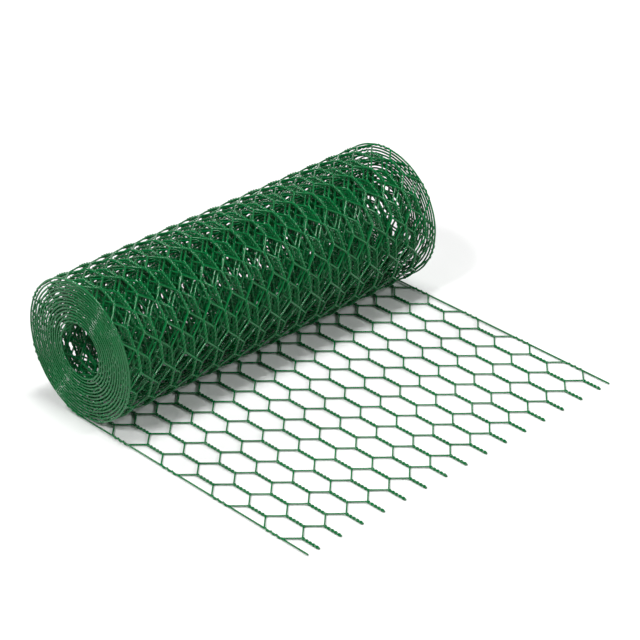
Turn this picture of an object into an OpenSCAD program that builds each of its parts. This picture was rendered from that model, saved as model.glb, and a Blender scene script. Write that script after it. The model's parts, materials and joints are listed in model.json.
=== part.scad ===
// Roll of hexagonal wire netting lying on its side, with its loose end run out flat on the floor.
// X is the roll's axis, the loose end runs to -Y, +Z is up, and the floor is at z = 0.

/* [Netting] */
// Width of one mesh, between the middles of its two twisted sides
mesh_w = 40; // [30:1:60]
// Number of meshes across the netting, from edge wire to edge wire
meshes_across = 15; // [6:1:18]
// Length of a twisted side
twist_len = 32.5; // [28:0.5:45]
// Length, along the netting, of the slanting wires between two rows of twists
slant_len = 19; // [14:0.5:26]
// Diameter of the coated wire
wire_d = 2.3; // [1.4:0.1:3]
// Half turns that the two wires of a twisted side make around each other
half_turns = 5; // [1:1:5]

/* [Roll] */
// Diameter of the clear bore through the middle of the roll
bore_d = 80; // [50:1:120]
// Number of turns wound on the roll
turns = 14; // [6:1:20]
// Gap left between one turn and the next
turn_gap = 0.35; // [0.2:0.05:4]

/* [Loose end] */
// Length run out flat, from the cut edge to the line where the roll touches the floor
loose_len = 454; // [250:1:550]
// Length of the twists left standing out along the cut edge
stub_len = 31; // [10:1:33]

/* [Hidden] */
// Two wires side by side, which is also the thickness of the netting
pair_d = 2 * wire_d;
pair_sides = 4;
// A twist is drawn in flat-sided steps of a quarter turn
half_turn_angle = 180;
twist_steps = 2 * half_turns;
edge_sides = 6;

row_pitch = twist_len + slant_len;
sheet_w = meshes_across * mesh_w;
roll_w = sheet_w + pair_d;

bore_r = bore_d / 2;
turn_pitch = pair_d + turn_gap;
build_up = turns * turn_pitch;
roll_r = bore_r + build_up;

// The floor area taken up is centred on the origin
cut_y = -(loose_len + roll_r) / 2;
axis_y = cut_y + loose_len;

// Half the width of a slanting wire, measured along the netting
slant_half = wire_d / 2 / cos(atan2(slant_len, mesh_w / 2));

// The loose end goes in under the roll as far as a whole wire fits, just clear of the turns above it
seat_share = 0.1;
seat_gap = seat_share * wire_d;
tuck_len = sqrt(pow(roll_r, 2) - pow(roll_r - wire_d, 2));
flat_len = loose_len - tuck_len;
rows = 1 + ceil((flat_len - stub_len - slant_len) / row_pitch);

// Cuts run past the faces that they open
overrun = mesh_w;

// Where a row of twists starts and ends along the netting, counted from the cut edge
function row_start(row) = row == 0 ? 0 : stub_len + slant_len + (row - 1) * row_pitch;
function row_end(row) = row == 0 ? stub_len : row_start(row) + twist_len;

// Half section of the roll: the wound layers as one wall, with the edge wires of every turn on its ends
module roll_section() {
    translate([bore_r, -sheet_w / 2])
        square([build_up, sheet_w]);
    for (turn = [1 : turns], end = [-1, 1])
        translate([bore_r + (turn - 1/2) * turn_pitch, end * sheet_w / 2])
            circle(d = pair_d, $fn = 24);
}

// Puts what is drawn around Z onto the roll's axis
module on_roll_axis() {
    translate([0, axis_y, roll_r])
        rotate([0, 90, 0])
            children();
}

module wound_roll() {
    color("seagreen")
        on_roll_axis()
            rotate_extrude($fn = 120)
                roll_section();
}

// Two wires twisted around each other, from the origin along +Y
module twisted_pair(length) {
    rotate([-90, 0, 0])
        linear_extrude(
            height = length,
            twist = -half_turns * half_turn_angle,
            slices = twist_steps,
            segments = pair_sides
        )
            square([pair_d, wire_d], center = true);
}

// One row of twists: the first row lies between the edge wires, the next one half a mesh over, and so on
module twist_row(row) {
    odd = row % 2;
    front = row == 0 ? 0 : row_start(row) - slant_half;
    length = row_end(row) + slant_half - front;
    for (i = [0 : meshes_across - 1 + odd])
        translate([(i + (1 - odd) / 2) * mesh_w - sheet_w / 2, front, 0])
            twisted_pair(length);
}

// The slanting wires from one row of twists to the next, which make one zigzag across the netting
module slant_row(row) {
    steps = 2 * meshes_across;
    middle = [
        for (i = [0 : steps])
            [i * mesh_w / 2 - sheet_w / 2, (i + row) % 2 == 1 ? row_end(row) : row_start(row + 1)]
    ];
    front = [for (i = [0 : steps]) middle[i] - [0, slant_half]];
    back = [for (i = [steps : -1 : 0]) middle[i] + [0, slant_half]];
    translate([0, 0, -wire_d / 2])
        linear_extrude(height = wire_d)
            polygon(concat(front, back));
}

// The straight wire along one edge, from the cut end to the roll
module edge_wire() {
    rotate([-90, 0, 0])
        cylinder(d = wire_d, h = flat_len, $fn = edge_sides);
}

module flat_netting() {
    for (row = [0 : rows - 1]) {
        twist_row(row);
        slant_row(row);
    }
    for (side = [-1, 1])
        translate([side * sheet_w / 2, 0, 0])
            edge_wire();
}

// What the roll takes up, with the gap around it, and all that lies behind the end of the loose netting
module roll_room() {
    on_roll_axis()
        cylinder(r = roll_r + seat_gap, h = roll_w + 2 * overrun, center = true, $fn = 120);
    translate([-roll_w / 2 - overrun, cut_y + flat_len, -overrun])
        cube([roll_w + 2 * overrun, row_pitch + overrun, pair_d + 2 * overrun]);
}

module unrolled_sheet() {
    color("seagreen")
        difference() {
            translate([0, cut_y, pair_d / 2])
                flat_netting();
            roll_room();
        }
}

wound_roll();
unrolled_sheet();
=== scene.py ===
"""Dresses the frame of a roll of hexagonal wire netting: its wires, their coat and a plain studio."""

import json
import math

import bpy
from bpy.props import FloatProperty, FloatVectorProperty, IntProperty, PointerProperty
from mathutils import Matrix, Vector


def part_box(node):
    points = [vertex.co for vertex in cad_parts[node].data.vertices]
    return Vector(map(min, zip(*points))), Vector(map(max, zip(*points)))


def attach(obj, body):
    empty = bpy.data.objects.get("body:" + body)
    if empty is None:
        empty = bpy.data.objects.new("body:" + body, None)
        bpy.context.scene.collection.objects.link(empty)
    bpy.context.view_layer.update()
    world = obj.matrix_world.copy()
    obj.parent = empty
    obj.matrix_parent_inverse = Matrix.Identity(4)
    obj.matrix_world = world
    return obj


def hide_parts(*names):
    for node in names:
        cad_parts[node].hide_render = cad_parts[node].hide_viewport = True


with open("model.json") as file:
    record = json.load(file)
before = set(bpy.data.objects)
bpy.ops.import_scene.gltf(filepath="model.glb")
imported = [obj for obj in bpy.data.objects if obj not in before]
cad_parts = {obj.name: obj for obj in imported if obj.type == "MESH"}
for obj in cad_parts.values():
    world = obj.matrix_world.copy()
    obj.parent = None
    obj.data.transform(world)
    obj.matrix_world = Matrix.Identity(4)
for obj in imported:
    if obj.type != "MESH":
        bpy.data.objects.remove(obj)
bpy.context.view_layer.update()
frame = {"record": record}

bl_info = {
    "name": "Roll of hexagonal netting",
    "version": (1, 0, 0),
    "blender": (4, 5, 0),
    "location": "3D View > Sidebar > Netting",
    "description": "Makes a roll of coated hexagonal wire netting with its loose end run out flat",
    "category": "Add Mesh",
}

ROLL_NODE = "wound_roll"
LOOSE_NODE = "unrolled_sheet"
COAT_SLOT = "coated_wire"
ROLL_LOW, ROLL_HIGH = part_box(ROLL_NODE)
LOOSE_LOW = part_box(LOOSE_NODE)[0]
BORE = next(m for m in frame["record"]["mounts"] if m["name"] == "spindle_bore")
MM = 0.001
FULL_TURN = 2 * math.pi
# How far the rings of a slanting wire are drawn from even places towards its corners
CORNER_DRAW = 0.29
# How finely the wires are drawn: on the loose end, on the outside of the roll and further in
LOOSE_DETAIL = {"Twist Steps": 25, "Slant Steps": 3, "Sides": 8}
OUTER_DETAIL = {"Twist Steps": 15, "Slant Steps": 3, "Sides": 6}
INNER_DETAIL = {"Twist Steps": 13, "Slant Steps": 3, "Sides": 5}
# Rows of twists that count as outer turns, and how many pieces the turns are made in
OUTER_ROWS = 37
OUTER_PIECES = 2
INNER_PIECES = 3
# Noise scales of the coat's slow changes of colour and of the fine grain of its skin
COLOUR_SCALE = 22.0
GRAIN_SCALE = 900.0
# What the grain does: the strength and depth of its bumps, and its spread of roughness
BUMP_STRENGTH = 0.04
BUMP_DEPTH = 0.2 * MM
ROUGHNESS_SPREAD = 0.12
# How far the floor reaches from the middle, each way
FLOOR_REACH = 30.0
# Sine of the angle over the horizon where the white backdrop ends, and the part that is a fade
BACKDROP_TOP = 0.35
BACKDROP_FADE = 0.15


class NettingSizes(bpy.types.PropertyGroup):
    """Sizes of the netting as it lies flat."""

    mesh_width: FloatProperty(
        name="Mesh width",
        description="Width of one mesh, between the middles of its twisted sides",
        default=40 * MM,
        unit="LENGTH",
    )
    meshes_across: IntProperty(
        name="Meshes across",
        description="Number of meshes from edge wire to edge wire",
        default=15,
    )
    twist_length: FloatProperty(
        name="Twist length",
        description="Length of a twisted side, from where its two wires meet to where they part",
        default=34.75 * MM,
        unit="LENGTH",
    )
    slant_length: FloatProperty(
        name="Slant length",
        description="Length along the netting of the slanting wires between two rows of twists",
        default=16.75 * MM,
        unit="LENGTH",
    )
    stub_length: FloatProperty(
        name="Stub length",
        description="Length of the twists left standing out along the cut edge",
        default=32.3 * MM,
        unit="LENGTH",
    )
    wire_diameter: FloatProperty(
        name="Wire diameter",
        description="Diameter of the wire with its coat",
        default=2.3 * MM,
        unit="LENGTH",
    )
    half_turns: IntProperty(
        name="Half turns",
        description="Half turns that the two wires of a twisted side make around each other",
        default=5,
    )
    twist_lead: FloatProperty(
        name="Twist lead",
        description="Length at both ends of a twisted side over which its wires run side by side",
        default=1.25 * MM,
        unit="LENGTH",
    )


class RollSizes(bpy.types.PropertyGroup):
    """Sizes of the roll that the netting is wound into."""

    outer_radius: FloatProperty(
        name="Outer radius",
        description="Radius of the roll over its outermost turn",
        default=(ROLL_HIGH.z - ROLL_LOW.z) / 2,
        unit="LENGTH",
    )
    bore_radius: FloatProperty(
        name="Bore radius",
        description="Radius of the clear bore through the roll",
        default=BORE["dims"]["r_mm"] * MM,
        unit="LENGTH",
    )
    turn_gap: FloatProperty(
        name="Turn gap",
        description="Gap left between one turn and the next",
        default=0.22 * MM,
        unit="LENGTH",
    )
    wire_width: FloatProperty(
        name="Wound wire width",
        description="Width of the roll's wires as drawn, over their diameter so that it looks dense",
        default=2.7 * MM,
        unit="LENGTH",
    )
    axis_y: FloatProperty(
        name="Axis place",
        description="Where the roll's axis stands, which is also where the loose end leaves the floor",
        default=(ROLL_LOW.y + ROLL_HIGH.y) / 2,
        unit="LENGTH",
    )
    cut_y: FloatProperty(
        name="Cut edge place",
        description="Where the loose end's cut edge lies",
        default=LOOSE_LOW.y,
        unit="LENGTH",
    )


class CoatFinish(bpy.types.PropertyGroup):
    """Colours and gloss of the plastic coat on the wire."""

    colour: FloatVectorProperty(
        name="Coat colour",
        description="Main colour of the plastic coat",
        default=(0.002, 0.216, 0.053),
        subtype="COLOR",
        min=0,
        max=1,
    )
    deep_colour: FloatVectorProperty(
        name="Deep colour",
        description="Colour of the coat where it is thicker and darker",
        default=(0.001, 0.130, 0.031),
        subtype="COLOR",
        min=0,
        max=1,
    )
    gloss: FloatProperty(
        name="Gloss",
        description="How strongly the coat mirrors, where 0.5 is a bare plastic",
        default=0.46,
        subtype="FACTOR",
        min=0,
        max=1,
    )
    roughness: FloatProperty(
        name="Roughness",
        description="Roughness of the coat's surface",
        default=0.12,
        subtype="FACTOR",
        min=0,
        max=1,
    )


class StudioLook(bpy.types.PropertyGroup):
    """Floor, lamps and camera."""

    floor_colour: FloatVectorProperty(
        name="Floor colour",
        description="Colour of the pale floor",
        default=(0.8, 0.8, 0.8),
        subtype="COLOR",
        min=0,
        max=1,
    )
    sky_level: FloatProperty(
        name="Sky level", description="Strength of the even light all round", default=0.02
    )
    lamp_level: FloatProperty(
        name="Lamp level",
        description="What all the lamps give to the floor, where 1 shows a white floor as white",
        default=1.2,
    )
    camera_place: FloatVectorProperty(
        name="Camera place",
        description="Where the camera stands",
        default=(-2.0425, -2.0999, 1.8216),
        subtype="TRANSLATION",
        unit="LENGTH",
    )
    camera_azimuth: FloatProperty(
        name="Camera azimuth",
        description="Angle of the camera round the object",
        default=math.radians(-44.13),
        subtype="ANGLE",
    )
    camera_elevation: FloatProperty(
        name="Camera elevation",
        description="Angle of the camera above the floor",
        default=math.radians(30.27),
        subtype="ANGLE",
    )
    camera_lens: FloatProperty(
        name="Camera lens", description="Focal length in millimetres", default=135.25
    )


class NettingScene(bpy.types.PropertyGroup):
    """All settings of the part, kept on the scene."""

    netting: PointerProperty(type=NettingSizes)
    roll: PointerProperty(type=RollSizes)
    coat: PointerProperty(type=CoatFinish)
    studio: PointerProperty(type=StudioLook)


class Value:
    """An output socket that joins in arithmetic: each operation adds a Math node."""

    def __init__(self, nodes, socket):
        self.nodes = nodes
        self.socket = socket

    def __add__(self, other):
        return self.nodes.math("ADD", self, other)

    def __radd__(self, other):
        return self.nodes.math("ADD", other, self)

    def __sub__(self, other):
        return self.nodes.math("SUBTRACT", self, other)

    def __rsub__(self, other):
        return self.nodes.math("SUBTRACT", other, self)

    def __mul__(self, other):
        return self.nodes.math("MULTIPLY", self, other)

    def __rmul__(self, other):
        return self.nodes.math("MULTIPLY", other, self)

    def __truediv__(self, other):
        return self.nodes.math("DIVIDE", self, other)

    def __rtruediv__(self, other):
        return self.nodes.math("DIVIDE", other, self)

    def __mod__(self, other):
        return self.nodes.math("MODULO", self, other)

    def floor(self):
        return self.nodes.math("FLOOR", self)

    def root(self):
        return self.nodes.math("SQRT", self)

    def sine(self):
        return self.nodes.math("SINE", self)

    def cosine(self):
        return self.nodes.math("COSINE", self)

    def at_least(self, other):
        return self.nodes.math("MAXIMUM", self, other)

    def at_most(self, other):
        return self.nodes.math("MINIMUM", self, other)

    def below(self, other):
        return self.nodes.math("LESS_THAN", self, other)


class Nodes:
    """A node tree that is being built."""

    def __init__(self, tree):
        self.tree = tree

    def add(self, kind, settings=None, sockets=None, output=0):
        """Adds a node, with its settings first and then its sockets, and gives one of its outputs."""
        node = self.tree.nodes.new(kind)
        for name, value in (settings or {}).items():
            setattr(node, name, value)
        for key, value in (sockets or {}).items():
            if isinstance(value, Value):
                self.tree.links.new(value.socket, node.inputs[key])
            else:
                node.inputs[key].default_value = value
        return Value(self, node.outputs[output]) if node.outputs else None

    def math(self, operation, *terms):
        """Adds a Math node and gives its result."""
        return self.add("ShaderNodeMath", {"operation": operation}, dict(enumerate(terms)))


# Named inputs of the node tree that draws the wires
TREE_INPUTS = {
    "Mesh Width": "NodeSocketFloat",
    "Meshes Across": "NodeSocketInt",
    "Twist Length": "NodeSocketFloat",
    "Slant Length": "NodeSocketFloat",
    "Stub Length": "NodeSocketFloat",
    "Wire Diameter": "NodeSocketFloat",
    "Wire Width": "NodeSocketFloat",
    "Half Turns": "NodeSocketInt",
    "Twist Lead": "NodeSocketFloat",
    "Cut Edge": "NodeSocketFloat",
    "Loose Length": "NodeSocketFloat",
    "Winding Radius": "NodeSocketFloat",
    "Turn Pitch": "NodeSocketFloat",
    "First Row": "NodeSocketInt",
    "Rows": "NodeSocketInt",
    "First Wire": "NodeSocketInt",
    "Wires": "NodeSocketInt",
    "Twist Steps": "NodeSocketInt",
    "Slant Steps": "NodeSocketInt",
    "Sides": "NodeSocketInt",
    "Coat": "NodeSocketMaterial",
}


def wound_place(nodes, size, across, along, lift):
    """Where a point of the flat netting goes: on the floor along the loose end, then round the roll."""
    wound = (along - size["Loose Length"]).at_least(0)
    growth = size["Turn Pitch"] / FULL_TURN
    start = size["Winding Radius"]
    radius = (start * start - 2 * growth * wound).root()
    angle = (start - radius) / growth
    arm = radius - lift
    y = size["Cut Edge"] + along.at_most(size["Loose Length"]) + arm * angle.sine()
    z = size["Wire Diameter"] + start - arm * angle.cosine()
    return nodes.add("ShaderNodeCombineXYZ", None, {"X": across, "Y": y, "Z": z})


def lines(nodes, count, points):
    """That many separate lines of that many points."""
    line = nodes.add("GeometryNodeMeshLine", None, {"Count": points})
    spread = nodes.add("GeometryNodeMeshLine", None, {"Count": count})
    each = nodes.add("GeometryNodeInstanceOnPoints", None, {"Points": spread, "Instance": line})
    return nodes.add("GeometryNodeRealizeInstances", None, {"Geometry": each})


def drawn_wire(nodes, size, geometry, place):
    """Lines moved to their places, as wires with closed ends.

    Their flat sides reach out so far that they are as wide on average as a round wire."""
    half_side = math.pi / size["Sides"]
    radius = size["Wire Width"] / 2 * half_side / half_side.sine()
    moved = nodes.add("GeometryNodeSetPosition", None, {"Geometry": geometry, "Position": place})
    curve = nodes.add("GeometryNodeMeshToCurve", None, {"Mesh": moved})
    ring = nodes.add(
        "GeometryNodeCurvePrimitiveCircle",
        {"mode": "RADIUS"},
        {"Resolution": size["Sides"], "Radius": radius},
    )
    return nodes.add(
        "GeometryNodeCurveToMesh",
        None,
        {"Curve": curve, "Profile Curve": ring, "Fill Caps": True},
    )


def twisted_wires(nodes, size):
    """The netting's wires, which go across it and back and twist with each wire that they meet.

    The two wires counted after them are the straight edge wires."""
    steps = size["Twist Steps"] + size["Slant Steps"]
    points = size["Rows"] * steps + 1
    index = nodes.add("GeometryNodeInputIndex")
    wire = size["First Wire"] + (index / points).floor()
    step = index % points
    row = size["First Row"] + (step / steps).floor()
    place = step % steps
    twisted = (place / size["Twist Steps"]).at_most(1)
    even = ((place - size["Twist Steps"]) / size["Slant Steps"]).at_least(0)
    slanted = even - CORNER_DRAW * (even * FULL_TURN).sine()

    columns = size["Meshes Across"]
    wires = columns * 2
    # Whole numbers are compared half way between two of them, where rounding can't matter
    netted = wire.below(wires - 0.5)

    def twist_in(row):
        """Where a wire's twist in a row lies across the netting.

        The side of it that the wire starts on comes second, and is 0 for an edge wire."""
        way = (wire * 2 + row) % (wires * 2)
        order = way.at_most(wires * 2 - 1 - way)
        odd = row % 2
        column = ((order + odd) / 2).floor() + (1 - odd) / 2
        edge = (wire - wires) * columns
        side = 1 - way.below(wires - 0.5) * 2
        return (edge + (column - edge) * netted - columns / 2) * size["Mesh Width"], side * netted

    here, side = twist_in(row)
    there, next_side = twist_in(row + 1)

    # The first row is cut short along the cut edge
    length = size["Twist Length"]
    missing = length - size["Stub Length"]
    cut_off = missing * row.below(0.5)
    reached = cut_off + (length - cut_off) * twisted
    row_start = row * (length + size["Slant Length"]) - missing
    along = row_start + reached + slanted * size["Slant Length"]

    # Around an edge wire it is half a turn more, and the wire leaves on the side that it came from
    half_turns = size["Half Turns"] + (1 - side * next_side) / 2
    lead = size["Twist Lead"]
    turned = ((reached - lead) / (length - lead * 2)).at_least(0).at_most(1)
    turn = turned * half_turns * -math.pi
    reach = size["Wire Diameter"] / 2
    start = here + side * reach * turn.cosine()
    finish = there + next_side * reach
    across = start + (finish - start) * slanted
    lift = side * reach * turn.sine()

    place = wound_place(nodes, size, across, along, lift)
    return drawn_wire(nodes, size, lines(nodes, size["Wires"], points), place)


def netting_tree():
    """The node tree that draws some rows of some wires of the netting, wound up past the loose end."""
    tree = bpy.data.node_groups.new("wound_netting", "GeometryNodeTree")
    for name, kind in TREE_INPUTS.items():
        tree.interface.new_socket(name, in_out="INPUT", socket_type=kind)
    tree.interface.new_socket("Netting", in_out="OUTPUT", socket_type="NodeSocketGeometry")
    nodes = Nodes(tree)
    group_input = tree.nodes.new("NodeGroupInput")
    size = {name: Value(nodes, group_input.outputs[name]) for name in TREE_INPUTS}
    wires = twisted_wires(nodes, size)
    smooth = nodes.add("GeometryNodeSetShadeSmooth", None, {"Geometry": wires})
    real = nodes.add("GeometryNodeRealizeInstances", None, {"Geometry": smooth})
    coated = nodes.add(
        "GeometryNodeSetMaterial", None, {"Geometry": real, "Material": size["Coat"]}
    )
    nodes.add("NodeGroupOutput", None, {"Netting": coated})
    return tree


def coat_material():
    """Green plastic coat: glossy, with slow changes of colour and a faintly uneven skin."""
    found = bpy.data.materials.get(COAT_SLOT + "_coat")
    if found:
        return found
    finish = bpy.context.scene.netting_part.coat
    material = bpy.data.materials.new(COAT_SLOT + "_coat")
    material.use_nodes = True
    material.node_tree.nodes.clear()
    nodes = Nodes(material.node_tree)
    place = nodes.add("ShaderNodeTexCoord", output="Object")
    drift = nodes.add(
        "ShaderNodeTexNoise", None, {"Vector": place, "Scale": COLOUR_SCALE, "Detail": 3.0}, "Fac"
    )
    grain = nodes.add(
        "ShaderNodeTexNoise", None, {"Vector": place, "Scale": GRAIN_SCALE, "Detail": 2.0}, "Fac"
    )
    colour = nodes.add(
        "ShaderNodeMix",
        {"data_type": "RGBA"},
        {0: drift, 6: (*finish.deep_colour, 1), 7: (*finish.colour, 1)},
        2,
    )
    bump = nodes.add(
        "ShaderNodeBump",
        None,
        {"Strength": BUMP_STRENGTH, "Distance": BUMP_DEPTH, "Height": grain},
    )
    shader = nodes.add(
        "ShaderNodeBsdfPrincipled",
        None,
        {
            "Base Color": colour,
            "Roughness": finish.roughness - ROUGHNESS_SPREAD / 2 + ROUGHNESS_SPREAD * grain,
            "Normal": bump,
            "Specular IOR Level": finish.gloss,
        },
    )
    nodes.add("ShaderNodeOutputMaterial", None, {"Surface": shader})
    return material


def make_piece(name, node, first_row, rows, wires, detail):
    """Draws part of the netting as a plain mesh that stands for a solid of the frame."""
    part = bpy.context.scene.netting_part
    netting, roll = part.netting, part.roll
    first_wire, count = wires
    values = {
        "Mesh Width": netting.mesh_width,
        "Meshes Across": netting.meshes_across,
        "Twist Length": netting.twist_length,
        "Slant Length": netting.slant_length,
        "Stub Length": netting.stub_length,
        "Wire Diameter": netting.wire_diameter,
        "Wire Width": roll.wire_width if node == ROLL_NODE else netting.wire_diameter,
        "Half Turns": netting.half_turns,
        "Twist Lead": netting.twist_lead,
        "Cut Edge": roll.cut_y,
        "Loose Length": roll.axis_y - roll.cut_y,
        "Winding Radius": winding_radii()[0],
        "Turn Pitch": turn_pitch(),
        "First Row": first_row,
        "Rows": rows,
        "First Wire": first_wire,
        "Wires": count,
        "Coat": coat_material(),
        **detail,
    }
    tree = bpy.data.node_groups.get("wound_netting") or netting_tree()
    piece = bpy.data.objects.new(name, bpy.data.meshes.new(name))
    bpy.context.scene.collection.objects.link(piece)
    modifier = piece.modifiers.new("Netting", "NODES")
    modifier.node_group = tree
    for item in tree.interface.items_tree:
        if item.in_out == "INPUT":
            modifier[item.identifier] = values[item.name]
    evaluated = piece.evaluated_get(bpy.context.evaluated_depsgraph_get())
    mesh = bpy.data.meshes.new_from_object(evaluated)
    piece.modifiers.remove(modifier)
    piece.data = mesh
    mesh.name = name
    if not mesh.polygons:
        raise RuntimeError(f"{name} came out empty")
    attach(piece, "root")
    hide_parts(node)


def turn_pitch():
    """Distance from one turn to the next: the netting is two wires thick."""
    part = bpy.context.scene.netting_part
    return 2 * part.netting.wire_diameter + part.roll.turn_gap


def winding_radii():
    """Radii to the middle of the netting where the spiral starts, on the floor, and where it ends.

    Over its first and last turn the spiral is half a pitch nearer to the radii that the roll has."""
    part = bpy.context.scene.netting_part
    roll, wire = part.roll, part.netting.wire_diameter
    return roll.outer_radius - wire + turn_pitch() / 2, roll.bore_radius + wire - turn_pitch() / 2


def row_count(length):
    """Rows of twists in a length of netting from the cut edge."""
    netting = bpy.context.scene.netting_part.netting
    missing = netting.twist_length - netting.stub_length
    return int((length + missing) / (netting.twist_length + netting.slant_length))


def loose_rows():
    """Rows of twists in the loose end, with the one that goes up into the roll."""
    roll = bpy.context.scene.netting_part.roll
    return row_count(roll.axis_y - roll.cut_y) + 1


def all_rows():
    """Rows of twists in the whole netting, from the cut edge to the inner end of the roll."""
    roll = bpy.context.scene.netting_part.roll
    outer, inner = winding_radii()
    wound_length = math.pi * (outer**2 - inner**2) / turn_pitch()
    return row_count(roll.axis_y - roll.cut_y + wound_length)


def netting_wires():
    """First wire and count of the wires that make the meshes."""
    return 0, 2 * bpy.context.scene.netting_part.netting.meshes_across


def edge_wires():
    """First wire and count of the straight edge wires."""
    return netting_wires()[1], 2


def all_wires():
    """First wire and count of all the wires."""
    return 0, netting_wires()[1] + edge_wires()[1]


def make_turns(name, first_row, rows, pieces, detail):
    """Draws rows of the wound netting as that many pieces."""
    for i in range(pieces):
        start, end = (first_row + rows * k // pieces for k in (i, i + 1))
        make_piece(f"{name}_{i + 1}", ROLL_NODE, start, end - start, netting_wires(), detail)


class NETTING_OT_loose_end(bpy.types.Operator):
    """Makes the loose end that lies flat on the floor"""

    bl_idname = "netting.loose_end"
    bl_label = "Loose end"

    def execute(self, context):
        make_piece("loose_end", LOOSE_NODE, 0, loose_rows(), all_wires(), LOOSE_DETAIL)
        return {"FINISHED"}


class NETTING_OT_roll_edges(bpy.types.Operator):
    """Makes the edge wires of the wound netting, which show as rings on both ends of the roll"""

    bl_idname = "netting.roll_edges"
    bl_label = "Edge wires of the roll"

    def execute(self, context):
        first = loose_rows()
        rows = all_rows() - first
        make_piece("roll_edges", ROLL_NODE, first, rows, edge_wires(), OUTER_DETAIL)
        return {"FINISHED"}


class NETTING_OT_outer_turns(bpy.types.Operator):
    """Makes the outer turns of the roll"""

    bl_idname = "netting.outer_turns"
    bl_label = "Outer turns"

    def execute(self, context):
        make_turns("outer_turns", loose_rows(), OUTER_ROWS, OUTER_PIECES, OUTER_DETAIL)
        return {"FINISHED"}


class NETTING_OT_inner_turns(bpy.types.Operator):
    """Makes the inner turns of the roll, down to its bore"""

    bl_idname = "netting.inner_turns"
    bl_label = "Inner turns"

    def execute(self, context):
        first = loose_rows() + OUTER_ROWS
        rows = all_rows() - first
        make_turns("inner_turns", first, rows, INNER_PIECES, INNER_DETAIL)
        return {"FINISHED"}


def seen_rays(nodes):
    """1 for rays that show a thing: from the camera, off a shiny surface or through a clear one."""
    camera = nodes.add("ShaderNodeLightPath", output="Is Camera Ray")
    path = camera.socket.node
    glossy = Value(nodes, path.outputs["Is Glossy Ray"])
    through = Value(nodes, path.outputs["Is Transmission Ray"])
    return camera.at_least(glossy).at_least(through)


def make_floor(studio):
    """A wide pale floor that the camera sees as white where nothing shades it."""
    reach = FLOOR_REACH
    mesh = bpy.data.meshes.new("floor")
    corners = [(-reach, -reach, 0), (reach, -reach, 0), (reach, reach, 0), (-reach, reach, 0)]
    mesh.from_pydata(corners, [], [(0, 1, 2, 3)])
    floor = bpy.data.objects.new("floor", mesh)
    bpy.context.scene.collection.objects.link(floor)
    material = bpy.data.materials.new("floor")
    material.use_nodes = True
    material.node_tree.nodes.clear()
    nodes = Nodes(material.node_tree)
    colour = nodes.add(
        "ShaderNodeMix",
        {"data_type": "RGBA"},
        {0: seen_rays(nodes), 6: (*studio.floor_colour, 1), 7: (1, 1, 1, 1)},
        2,
    )
    shader = nodes.add("ShaderNodeBsdfDiffuse", None, {"Color": colour})
    nodes.add("ShaderNodeOutputMaterial", None, {"Surface": shader})
    mesh.materials.append(material)


# Each lamp's place as seen from the object, its share of the light on the floor and its width
LAMPS = {
    "overhead_lamp": ((0.06, 0.0, 1.0), 0.41, math.radians(14)),
    "near_end_lamp": ((-0.9, -0.1, 1.0), 0.26, math.radians(10)),
    "front_lamp": ((1.0, -1.0, 0.9), 0.14, math.radians(12)),
    "back_lamp": ((-0.1, 1.0, 1.0), 0.19, math.radians(10)),
}


def make_light(studio):
    """A little even light all round, and lamps overhead, past the near end, in front and behind."""
    world = bpy.data.worlds.new("studio")
    world.use_nodes = True
    world.node_tree.nodes.clear()
    nodes = Nodes(world.node_tree)
    sky = nodes.add(
        "ShaderNodeBackground", None, {"Color": (1, 1, 1, 1), "Strength": studio.sky_level}
    )
    backdrop = nodes.add("ShaderNodeBackground", None, {"Color": (1, 1, 1, 1), "Strength": 1.0})
    # Low over the floor, the camera and shiny surfaces see a white backdrop that gives no other light
    direction = nodes.add("ShaderNodeTexCoord", output="Generated")
    height = nodes.add("ShaderNodeSeparateXYZ", None, {"Vector": direction}, "Z")
    low = ((BACKDROP_TOP - height) / BACKDROP_FADE).at_least(0).at_most(1)
    shown = nodes.add(
        "ShaderNodeMixShader", None, {0: seen_rays(nodes) * low, 1: sky, 2: backdrop}
    )
    nodes.add("ShaderNodeOutputWorld", None, {"Surface": shown})
    bpy.context.scene.world = world

    for name, (place, share, width) in LAMPS.items():
        towards = Vector(place).normalized()
        lamp = bpy.data.lights.new(name, "SUN")
        lamp.energy = math.pi * studio.lamp_level * share / towards.z
        lamp.angle = width
        holder = bpy.data.objects.new(name, lamp)
        holder.rotation_euler = towards.to_track_quat("Z", "Y").to_euler()
        bpy.context.scene.collection.objects.link(holder)


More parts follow.
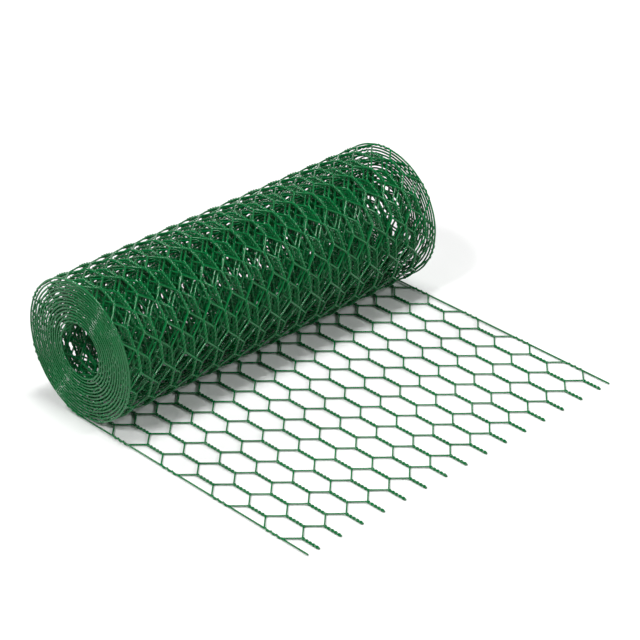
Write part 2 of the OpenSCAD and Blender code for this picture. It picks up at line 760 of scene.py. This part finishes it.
def make_camera(studio):
    """A long lens from in front of the near end, looking down on the loose end."""
    data = bpy.data.cameras.new("camera")
    data.lens = studio.camera_lens
    data.sensor_width = 36.0
    data.sensor_fit = "HORIZONTAL"
    data.clip_end = 100.0
    camera = bpy.data.objects.new("camera", data)
    camera.location = studio.camera_place
    camera.rotation_euler = (
        math.pi / 2 - studio.camera_elevation,
        0,
        studio.camera_azimuth,
    )
    bpy.context.scene.collection.objects.link(camera)
    bpy.context.scene.camera = camera


class NETTING_OT_studio(bpy.types.Operator):
    """Makes the floor, the light and the camera"""

    bl_idname = "netting.studio"
    bl_label = "Studio"

    def execute(self, context):
        studio = context.scene.netting_part.studio
        make_floor(studio)
        make_light(studio)
        make_camera(studio)
        context.scene.view_settings.view_transform = "Standard"
        return {"FINISHED"}


class NETTING_PT_part(bpy.types.Panel):
    """Settings and steps of the roll of netting"""

    bl_label = "Roll of netting"
    bl_idname = "NETTING_PT_part"
    bl_space_type = "VIEW_3D"
    bl_region_type = "UI"
    bl_category = "Netting"

    def draw(self, context):
        part = context.scene.netting_part
        for group in (part.netting, part.roll, part.coat, part.studio):
            box = self.layout.box()
            for name in group.__annotations__:
                box.prop(group, name)
        for step in STEPS:
            self.layout.operator(step.bl_idname)


STEPS = (
    NETTING_OT_loose_end,
    NETTING_OT_roll_edges,
    NETTING_OT_outer_turns,
    NETTING_OT_inner_turns,
    NETTING_OT_studio,
)
CLASSES = (
    NettingSizes,
    RollSizes,
    CoatFinish,
    StudioLook,
    NettingScene,
    *STEPS,
    NETTING_PT_part,
)


def register():
    for cls in CLASSES:
        bpy.utils.register_class(cls)
    bpy.types.Scene.netting_part = PointerProperty(type=NettingScene)


def unregister():
    del bpy.types.Scene.netting_part
    for cls in reversed(CLASSES):
        bpy.utils.unregister_class(cls)


def main():
    register()
    bpy.ops.netting.loose_end()
    bpy.ops.netting.roll_edges()
    bpy.ops.netting.outer_turns()
    bpy.ops.netting.inner_turns()
    bpy.ops.netting.studio()


if __name__ == "__main__":
    main()
